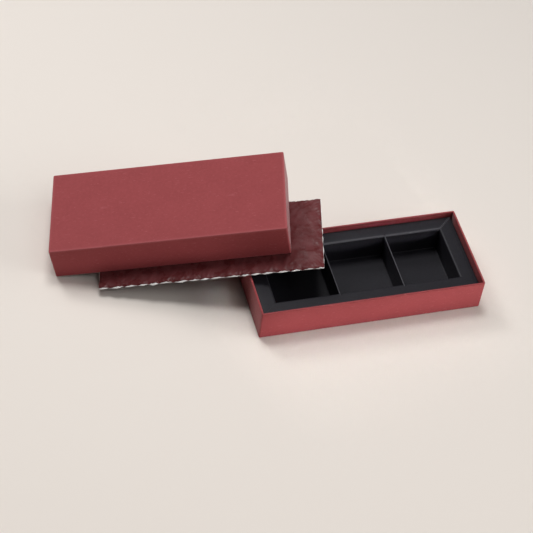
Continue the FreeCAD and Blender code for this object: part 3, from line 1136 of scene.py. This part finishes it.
    def build(self) -> None:
        """Makes the folded blank and the dividers that stand in it."""
        parts = [self.panel(side) for side in Side] + [self.floor()]
        starts = np.cumsum([0] + [len(points) for points, _, _ in parts[:-1]])
        points = np.concatenate([points for points, _, _ in parts])
        quads = np.concatenate([quads + start for (_, quads, _), start in zip(parts, starts)])
        wear = np.concatenate([wear for _, _, wear in parts])
        points = points + np.array([self.shift, 0.0, 0.0])
        blank = new_piece("insert_card", points, quads, None, wear)
        give_thickness(blank, self.card)
        dress(blank, CARD.material(), CARD_EDGE.material())
        seat(blank, "insert", "insert_tray")
        for name, middle in zip(("divider_left", "divider_right"), self.dividers):
            well = self.width / 2 - self.side_ledge
            Divider(name, middle + self.shift, well, self.bottom + self.card, self.top).build()


@dataclass
class Divider:
    """A card divider with a round top edge and an ear at each end that drops into the insert's slits."""

    name: str
    middle: float
    well: float
    low: float
    ledge_top: float
    gap: float = 0.0003
    ear: float = 0.0016
    ear_height: float = 0.008
    drop: float = 0.0006
    thickness: float = 0.0008
    columns: int = 9
    ear_columns: int = 3
    # Wear and a painted highlight on the round top edge: it rises from half the thickness below the top to
    # full at this share of it.
    worn_to: float = 0.2
    edge_wear_and_highlight: float = 0.9

    def build(self) -> None:
        """Carries a section with a round top along the divider's width.

        The section is a closed loop: up one face, over a half round and down the other. Its low end is
        the well's floor on the panel and the underside of the ear past it, and it closes to nothing at
        both ends.
        """
        half, top = self.thickness / 2, self.ledge_top - self.drop
        ear_low = top - self.ear_height
        panel, reach = self.well - self.gap, self.well + self.ear
        inside = np.linspace(-panel, panel, self.columns)
        y = np.concatenate([[-reach, -reach, -panel], inside, [panel, reach, reach]])
        low = np.pad(np.full(self.columns, self.low), self.ear_columns, constant_values=ear_low)
        full = np.ones(y.size)
        full[[0, -1]] = 0.0
        over = arc((0.0, top - half), half, 180, 0, 8)
        side = np.concatenate([[-half, -half], over[:, 0], [half, half]])
        z = np.concatenate([[0.0, ear_low], over[:, 1], [ear_low, 0.0]])
        foot = np.zeros(side.size)
        foot[[0, -1]] = 1.0
        height = z[None, :] * (1 - foot) + low[:, None] * foot
        points = np.stack([self.middle + full[:, None] * side, y[:, None] + 0 * height, height], -1)
        # Wear and a painted highlight along the round top edge.
        rub_and_highlight = smooth_step(z, top - half, top - self.worn_to * half) * self.edge_wear_and_highlight
        wear = np.broadcast_to(rub_and_highlight, height.shape)
        quads = turned_out(points.reshape(-1, 3), grid_quads(*height.shape, False, True))
        piece = new_piece(f"{self.name}_card", points, quads, None, wear)
        dress(piece, CARD.material())
        seat(piece, self.name, self.name)


@dataclass
class CushionPad:
    """The cushion pad: a glossy pressed sheet, white wadding crimped into channels and a backing.

    The sheets stop short of the front edge, where the wadding swells out past them in beads.
    """

    length: float = 0.1836
    width: float = 0.0744
    thickness: float = 0.0028
    skin: float = 0.00025
    run: float = 0.0186
    offset: float = -0.0038
    turn: float = -0.4
    pitch: float = 0.0074
    channel_depth: float = 0.0021
    relief: float = 0.00045
    bulge: float = 0.0013
    end_bulge: float = 0.35
    slant: float = 0.12
    pinch_reach: float = 0.0013
    pinch_top: float = 0.0017
    pinch_low: float = 0.002
    squeeze: float = 0.0004
    notch: float = 0.5
    thinnest: float = 0.0001
    corner_radius: float = 0.0004
    step: float = 0.0008
    near_rings: tuple[float, ...] = (0.0, 0.0002, 0.0005, 0.0009, 0.0014, 0.002, 0.0028)
    deep_start: float = 0.0038
    ring_step: float = 0.0012
    edge_steps: int = 7
    crease: float = 50.0
    waver: Cloud = Cloud(0.03, 11, 0.0006)
    wide_folds: Cloud = Cloud(0.021, 3, 0.34)
    fine_folds: Cloud = Cloud(0.009, 4, 0.204)
    small_lumps: Cloud = Cloud(0.012, 5, 0.2)
    wide_lumps: Cloud = Cloud(0.034, 7, 0.16)
    ripple: Cloud = Cloud(0.0026, 9, 0.4)
    ripple_reach: float = 0.004
    level: float = 1.05
    deepest: float = 2.4
    bead_size: Cloud = Cloud(0.017, 13, 0.25)
    bead_mean: float = 0.85
    bead_power: int = 4

    def place(self, lean: Lean) -> Place:
        """The pad's frame: the middle of its top face, along it, across it and out of it.

        Args:
            lean: The slope that the pad lies under.

        Returns:
            The frame.
        """
        slope = lean.slope()
        middle = slope.origin + slope.x * (lean.run - self.run) + slope.y * self.offset - slope.z * lean.gap
        turn = math.radians(self.turn)
        along = slope.x * math.cos(turn) + slope.y * math.sin(turn)
        across = slope.y * math.cos(turn) - slope.x * math.sin(turn)
        return Place(middle, along, across, slope.z)

    def rings(self) -> tuple[Outline, Array]:
        """The rings that the pad's faces are made of, close together along the edge.

        Returns:
            The pad's outline and the insets of its rings, from the middle line to the edge.
        """
        size = self.length, self.width
        stops = (even_stops(side, self.step) for side in size)
        outline = Outline(*size, self.corner_radius, *stops, corner_steps=2, least_radius=0.0)
        middle = self.width / 2
        deep = np.linspace(self.deep_start, middle, round(middle / self.ring_step))
        return outline, np.concatenate([self.near_rings, deep])[::-1]

    def channels(self, x: Array, y: Array) -> Array:
        """Height of the channels from 0 at a seam to 1 at a crown.

        The channels lie at 45 degrees; across them the height is a round arch, the root of 1 less the
        square of the distance from the crown, with the pitch gently uneven.

        Args:
            x: Coordinate along the pad.
            y: Coordinate across the pad.

        Returns:
            Height, the shape of x.
        """
        across = (x + y) / math.sqrt(2) + self.waver.at(x, y)
        share = across / self.pitch
        off = 2 * np.abs(share - np.round(share))
        return np.sqrt(np.clip(1 - off * off, 0, 1))

    def dimple(self, x: Array, y: Array) -> Array:
        """Depth of the crumpled relief of the top sheet, never above 0.

        It is a sum of clouds and of soft folds, with a fine ripple that dies away from the edges, taken
        down by a level and held between 0 and the deepest dent.

        Args:
            x: Coordinate along the pad.
            y: Coordinate across the pad.

        Returns:
            Height, at most 0.
        """
        edge = np.minimum(self.length / 2 - np.abs(x), self.width / 2 - np.abs(y))
        folds = self.wide_folds.ridges(x, y) + self.fine_folds.ridges(x, y)
        height = folds + self.small_lumps.at(x, y) + self.wide_lumps.at(x, y)
        ripple = np.exp(-edge / self.ripple_reach) * self.ripple.at(x, y)
        return self.relief * np.clip(height - self.level + ripple, -self.deepest, 0.0)

    def slant_shift(self) -> float:
        """How far along the pad the channels shift from the middle of its edge to either face."""
        return self.slant * self.pitch / math.sqrt(2)

    def pinch(self, x: Array, y: Array) -> Array:
        """Share from 1 at the front or an end to 0 inside, falling off with the distance over the reach."""
        edge = np.minimum(self.length / 2 - np.abs(x), self.width / 2 + y)
        return np.exp(-np.maximum(edge, 0.0) / self.pinch_reach)

    def face(self, x: Array, y: Array) -> Array:
        """Upper face of the top sheet: the crumpled relief, drawn down to each seam along the edges.

        It goes no deeper than leaves room for both sheets and a thin layer of wadding.

        Args:
            x: Coordinate along the pad.
            y: Coordinate across the pad.

        Returns:
            Height, at most 0.
        """
        depth = self.pinch_top * (1 - self.channels(x - self.slant_shift(), y)) ** self.notch
        least = 2 * self.skin + self.thinnest - self.thickness
        return np.maximum(self.dimple(x, y) - self.pinch(x, y) * depth, least)

    def under(self, x: Array, y: Array) -> Array:
        """Lower face of the top sheet."""
        return self.face(x, y) - self.skin

    def crown(self, x: Array, y: Array) -> Array:
        """Lower face of the wadding: the channels, which rise only a little to each seam along the edges.

        It stays below the top sheet by the thinnest layer of wadding.

        Args:
            x: Coordinate along the pad.
            y: Coordinate across the pad.

        Returns:
            Height, below that of the top sheet.
        """
        lowest = self.thickness - self.skin
        inside = lowest - self.channel_depth * (1 - self.channels(x, y))
        swollen = lowest - self.squeeze
        edge = swollen - (swollen - self.pinch_low) * (1 - self.channels(x + self.slant_shift(), y))
        share = self.pinch(x, y)
        height = -inside * (1 - share) - edge * share
        return np.minimum(height, self.under(x, y) - self.thinnest)

    def back(self, x: Array, y: Array) -> Array:
        """Lower face of the backing."""
        return self.crown(x, y) - self.skin

    def sheet(self, top: Field, bottom: Field, bulge: float, edge_steps: int) -> tuple[Array, Array]:
        """A closed skin between two height fields: rings out over the top, round the edge and back below.

        The edge is a half round: its middle stands out by the bulge times a power of the channel height
        there, less at the ends than along the sides, and the channels slant a little across it.

        Args:
            top: Function of x and y that gives the upper height.
            bottom: Function of x and y that gives the lower height.
            bulge: How far the middle of the edge stands out at a crown.
            edge_steps: Number of rows round the edge.

        Returns:
            Points and faces.
        """
        outline, insets = self.rings()
        upper = outline.carry(insets[:, None], 0.0)
        upper[..., 2] = top(upper[..., 0], upper[..., 1])
        lower = outline.carry(insets[::-1, None], 0.0)
        lower[..., 2] = bottom(lower[..., 0], lower[..., 1])
        share = np.linspace(0, 1, edge_steps + 2)[1:-1, None, None]
        edge = upper[-1:] * (1 - share) + lower[:1] * share
        out = np.concatenate([outline.path()[:, 2:], np.zeros((edge.shape[1], 1))], 1)
        twist = 2 * self.slant_shift() * (share[..., 0] - 0.5)
        arch = self.channels(edge[..., 0] + twist, edge[..., 1])[..., None]
        swell = arch**self.bead_power * np.sin(math.pi * share)
        uneven = self.bead_mean + self.bead_size.at(edge[..., 0], edge[..., 1])[..., None]
        held = np.where(np.abs(out[:, :1]) > 0.5, self.end_bulge, 1.0)
        edge = edge + out[None] * held[None] * swell * uneven * bulge
        points = np.concatenate([upper, edge, lower])
        quads = grid_quads(*points.shape[:2], False, True)
        return points, turned_out(points.reshape(-1, 3), quads)

    def build(self, lean: Lean) -> None:
        """Makes the three layers where the pad lies.

        Args:
            lean: The slope that the pad lies under.
        """
        place = self.place(lean)
        flat, beaded = (0.0, 1), (self.bulge, self.edge_steps)
        layers = (
            ("pad_top", self.face, self.under, flat, PAD_SHEET, "pad_sheet", "pad_top_sheet"),
            ("pad_core", self.under, self.crown, beaded, PULP, "pad_wadding", "pad_wadding"),
            ("pad_back", self.crown, self.back, flat, BACKING, "pad_backing", "pad_bottom_sheet"),
        )
        for name, top, bottom, edge, finish, slot, node in layers:
            points, quads = self.sheet(top, bottom, *edge)
            piece = new_piece(name, place.put(points), quads, crease=self.crease)
            dress(piece, finish.material())
            seat(piece, "pad", node)


@dataclass
class HiddenLayers:
    """The solids that keep their shape: boards, stays, liners and bottom sheet."""

    finishes: dict[str, PlainStock | WrapPaper] = field(
        default_factory=lambda: {
            "board": GREYBOARD,
            "corner_tape": STAY_TAPE,
            "liner": LINING,
            "base_bottom_sheet": BURGUNDY_SHEET,
        }
    )

    def build(self) -> None:
        """Dresses each solid whose name holds the word for its finish."""
        for word, finish in self.finishes.items():
            material = finish.material()
            names = [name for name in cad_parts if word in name]
            for name in names:
                dress(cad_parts[name], material)
                LOG.info("%s dressed in %s", name, finish.name)


@dataclass(frozen=True)
class SoftLight:
    """A softbox that faces a point, as high as it is wide where no height is given.

    Its angles and the spread of its beam are in degrees, its power is in watts.
    """

    name: str
    azimuth: float
    elevation: float
    distance: float
    side: float
    power: float
    height: float = 0.0
    spread: float = 180.0
    aim: Triple = (-0.07, 0.02, 0.0)
    roll: float = 0.0

    def build(self) -> None:
        """Places the light on its arm and turns it to its aim."""
        lamp = bpy.data.lights.new(self.name, "AREA")
        lamp.shape = "RECTANGLE"
        lamp.size = self.side
        lamp.size_y = self.height or self.side
        lamp.spread = math.radians(self.spread)
        lamp.energy = self.power
        axes = view_axes(self.azimuth, self.elevation, self.roll)
        set_up(lamp, axes, np.array(self.aim) + axes[2] * self.distance)


def view_axes(azimuth: float, elevation: float, roll: float) -> Array:
    """Right, up and back directions of something that looks at a point from an angle.

    Args:
        azimuth: Angle round the object in degrees, 0 from the front, 90 from the right.
        elevation: Angle above the floor in degrees.
        roll: Turn about the line of sight in degrees.

    Returns:
        The three directions as rows.
    """
    a, e, r = np.radians([azimuth, elevation, roll])
    back = np.array([math.sin(a) * math.cos(e), -math.cos(a) * math.cos(e), math.sin(e)])
    level = np.cross([0.0, 0.0, 1.0], back)
    level /= np.linalg.norm(level)
    above = np.cross(back, level)
    right = level * math.cos(r) + above * math.sin(r)
    up = above * math.cos(r) - level * math.sin(r)
    return np.stack([right, up, back])


def set_up(data: bpy.types.ID, axes: Array, place: Array) -> Piece:
    """Stands a light or a camera in the scene.

    Args:
        data: The light or the camera.
        axes: Its right, up and back directions as rows.
        place: Where it stands.

    Returns:
        The object that holds it.
    """
    rows = np.eye(4)
    rows[:3, :3] = axes.T
    rows[:3, 3] = place
    holder = bpy.data.objects.new(data.name, data)
    holder.matrix_world = Matrix(rows.tolist())
    bpy.context.scene.collection.objects.link(holder)
    return holder


@dataclass
class Studio:
    """Pale floor, soft lights and the camera at the photograph's angle."""

    azimuth: float = -21.364
    elevation: float = 48.72
    roll: float = 8.695
    distance: float = 1.50037
    aim: Triple = (-0.074055, 0.019727, 0.015)
    focal: float = 1822.0
    sensor: float = 36.0
    sight: float = 50.0
    floor_side: float = 40.0
    floor_lines: int = 9
    floor_drop: float = 0.0001
    sky: Colour = (1.0, 0.985, 0.965)
    sky_strength: float = 0.02
    lights: tuple[SoftLight, ...] = (
        SoftLight("key", -150.0, 45.0, 1.8, 0.5, 10.0),
        SoftLight("back", -165.0, 60.0, 1.8, 1.2, 6.3),
        SoftLight("high", -175.0, 74.0, 1.8, 0.5, 12.3),
        SoftLight("right", 76.0, 20.0, 1.8, 1.0, 10.8),
        SoftLight("front_right", 30.0, 60.0, 1.8, 1.2, 5.3),
        SoftLight("right_front", 55.0, 22.0, 1.8, 0.6, 4.0),
        SoftLight("base_strip", 14.0, 13.0, 0.9, 0.21, 0.0192, 0.02, 5.0, (0.006, -0.041, 0.015)),
        SoftLight("lid_strip", -5.0, 8.0, 0.9, 0.16, 0.0011, 0.02, 3.0, (-0.185, 0.044, 0.029), roll=13.0),
    )

    def floor(self) -> None:
        """A wide flat grid under everything."""
        side = np.linspace(-0.5, 0.5, self.floor_lines) * self.floor_side
        y, x = np.meshgrid(side, side, indexing="ij")
        points = np.stack([x, y, np.full_like(x, -self.floor_drop)], -1)
        floor = new_piece("floor", points, grid_quads(*x.shape, False, False))
        dress(floor, FLOOR_PAPER.material())

    def world(self) -> None:
        """Even pale light from all round."""
        world = bpy.data.worlds.new("studio")
        world.use_nodes = True
        graph = Graph(world.node_tree)
        glow = graph.add("ShaderNodeBackground", {"Color": rgba(self.sky), "Strength": self.sky_strength})
        graph.add("ShaderNodeOutputWorld", {0: glow.outputs[0]})
        bpy.context.scene.world = world

    def camera(self) -> None:
        """The camera: a focal length in pixels of the photograph becomes a lens for its sensor."""
        eye = bpy.data.cameras.new("camera")
        eye.sensor_width = self.sensor
        eye.lens = self.focal * self.sensor / PHOTO_SIDE
        eye.clip_end = self.sight
        axes = view_axes(self.azimuth, self.elevation, self.roll)
        place = np.array(self.aim) + axes[2] * self.distance
        bpy.context.scene.camera = set_up(eye, axes, place)

    def build(self) -> None:
        """Sets up the floor, the world, the lights and the camera."""
        bpy.context.scene.view_settings.view_transform = "Standard"
        self.floor()
        self.world()
        for light in self.lights:
            light.build()
        self.camera()


def main() -> None:
    """Builds the box piece by piece, then the studio round it."""
    logging.basicConfig(level=logging.INFO, format="%(message)s")
    low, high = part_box("base_wrap")
    base = BaseTray(high.x - low.x, high.y - low.y, high.z)
    lean = Lean(base.length, base.width, base.height)
    base.build()
    CardInsert().build()
    CushionPad().build(lean)
    Lid.over(base).build(lean)
    HiddenLayers().build()
    Studio().build()


if __name__ == "__main__":
    main()
